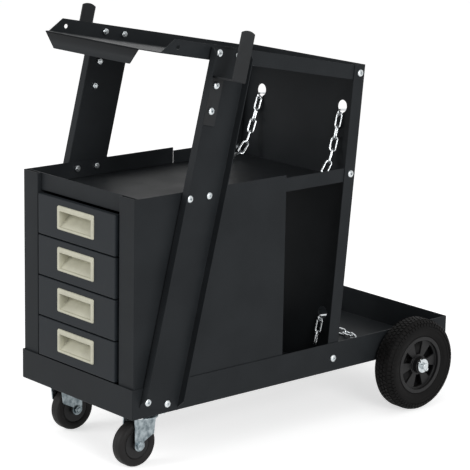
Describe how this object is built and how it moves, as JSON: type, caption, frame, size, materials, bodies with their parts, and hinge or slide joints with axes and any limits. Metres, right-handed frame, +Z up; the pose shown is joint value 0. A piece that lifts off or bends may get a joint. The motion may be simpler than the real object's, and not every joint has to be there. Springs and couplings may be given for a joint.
{
  "type": "welding cart",
  "caption": "Black sheet-steel welding cart with a drawer cabinet, a sloping top tray, side cable hooks, a rear bottle platform with chains, swivel casters and rear wheels.",
  "frame": {"origin": "on the floor under the middle of the cart's overall box", "axes": "+X to the cart's right seen from the rear (across the cart), +Y from the drawers to the rear platform, +Z up"},
  "size_m": [0.416, 0.7326, 0.7178],
  "materials": {
    "body_paint": "satin black powder coat",
    "front_paint": "satin black powder coat",
    "inner_paint": "satin black powder coat",
    "zinc": "bright zinc plate",
    "chain_zinc": "bright zinc plate",
    "pull_plastic": "semi-matt moulded plastic",
    "rear_tyre_rubber": "matt black rubber",
    "caster_rubber": "matt black rubber",
    "wheel_plastic": "matt black moulded plastic"
  },
  "bodies": {
    "cart": {"base_tray": "body_paint", "cabinet_shell": "body_paint", "cabinet_top": "body_paint", "left_drawer_guide": "inner_paint", "right_drawer_guide": "inner_paint", "left_upright": "body_paint", "right_upright": "body_paint", "left_cable_hook": "body_paint", "right_cable_hook": "body_paint", "top_tray": "body_paint", "rear_panel": "body_paint", "middle_shelf": "body_paint", "rear_axle": "zinc", "axle_brackets": "zinc", "bracket_bolts": "zinc", "frame_screws": "zinc", "frame_nuts": "zinc", "spacer_washers": "zinc", "axle_spacers": "zinc", "axle_washers": "zinc", "cotter_pins": "zinc", "upper_chain": "chain_zinc", "lower_chain": "chain_zinc", "left_caster_plate": "zinc", "right_caster_plate": "zinc", "caster_kingpins": "zinc", "caster_plate_bolts": "zinc"},
    "drawer_1": {"drawer_1_box": "inner_paint", "drawer_1_front": "front_paint", "drawer_1_pull": "pull_plastic"},
    "drawer_2": {"drawer_2_box": "inner_paint", "drawer_2_front": "front_paint", "drawer_2_pull": "pull_plastic"},
    "drawer_3": {"drawer_3_box": "inner_paint", "drawer_3_front": "front_paint", "drawer_3_pull": "pull_plastic"},
    "drawer_4": {"drawer_4_box": "inner_paint", "drawer_4_front": "front_paint", "drawer_4_pull": "pull_plastic"},
    "left_swivel": {"left_caster_fork": "zinc", "left_caster_bolt": "zinc"},
    "left_caster_wheel": {"left_caster_tyre": "caster_rubber", "left_caster_core": "wheel_plastic"},
    "left_rear_wheel": {"left_rear_tyre": "rear_tyre_rubber", "left_rear_rim": "wheel_plastic", "left_rear_bush": "zinc"},
    "right_swivel": {"right_caster_fork": "zinc", "right_caster_bolt": "zinc"},
    "right_caster_wheel": {"right_caster_tyre": "caster_rubber", "right_caster_core": "wheel_plastic"},
    "right_rear_wheel": {"right_rear_tyre": "rear_tyre_rubber", "right_rear_rim": "wheel_plastic", "right_rear_bush": "zinc"}
  },
  "joints": [
    {"name": "drawer_1_slide", "type": "slide", "parent": "cart", "child": "drawer_1", "axis": [0, -1, 0], "range_m": [0, 0.23]},
    {"name": "drawer_2_slide", "type": "slide", "parent": "cart", "child": "drawer_2", "axis": [0, -1, 0], "range_m": [0, 0.23]},
    {"name": "drawer_3_slide", "type": "slide", "parent": "cart", "child": "drawer_3", "axis": [0, -1, 0], "range_m": [0, 0.23]},
    {"name": "drawer_4_slide", "type": "slide", "parent": "cart", "child": "drawer_4", "axis": [0, -1, 0], "range_m": [0, 0.23]},
    {"name": "left_caster_swivel", "type": "hinge", "parent": "cart", "child": "left_swivel", "pos_m": [-0.107, -0.30875, 0.084], "axis": [0, 0, 1], "continuous": true},
    {"name": "left_caster_roll", "type": "hinge", "parent": "left_swivel", "child": "left_caster_wheel", "pos_m": [-0.107, -0.29175, 0.038], "axis": [1, 0, 0], "continuous": true},
    {"name": "right_caster_swivel", "type": "hinge", "parent": "cart", "child": "right_swivel", "pos_m": [0.107, -0.30875, 0.084], "axis": [0, 0, 1], "continuous": true},
    {"name": "right_caster_roll", "type": "hinge", "parent": "right_swivel", "child": "right_caster_wheel", "pos_m": [0.107, -0.32575, 0.038], "axis": [1, 0, 0], "continuous": true},
    {"name": "left_rear_roll", "type": "hinge", "parent": "cart", "child": "left_rear_wheel", "pos_m": [-0.175, 0.25825, 0.0825], "axis": [1, 0, 0], "continuous": true},
    {"name": "right_rear_roll", "type": "hinge", "parent": "cart", "child": "right_rear_wheel", "pos_m": [0.175, 0.25825, 0.0825], "axis": [1, 0, 0], "continuous": true}
  ]
}
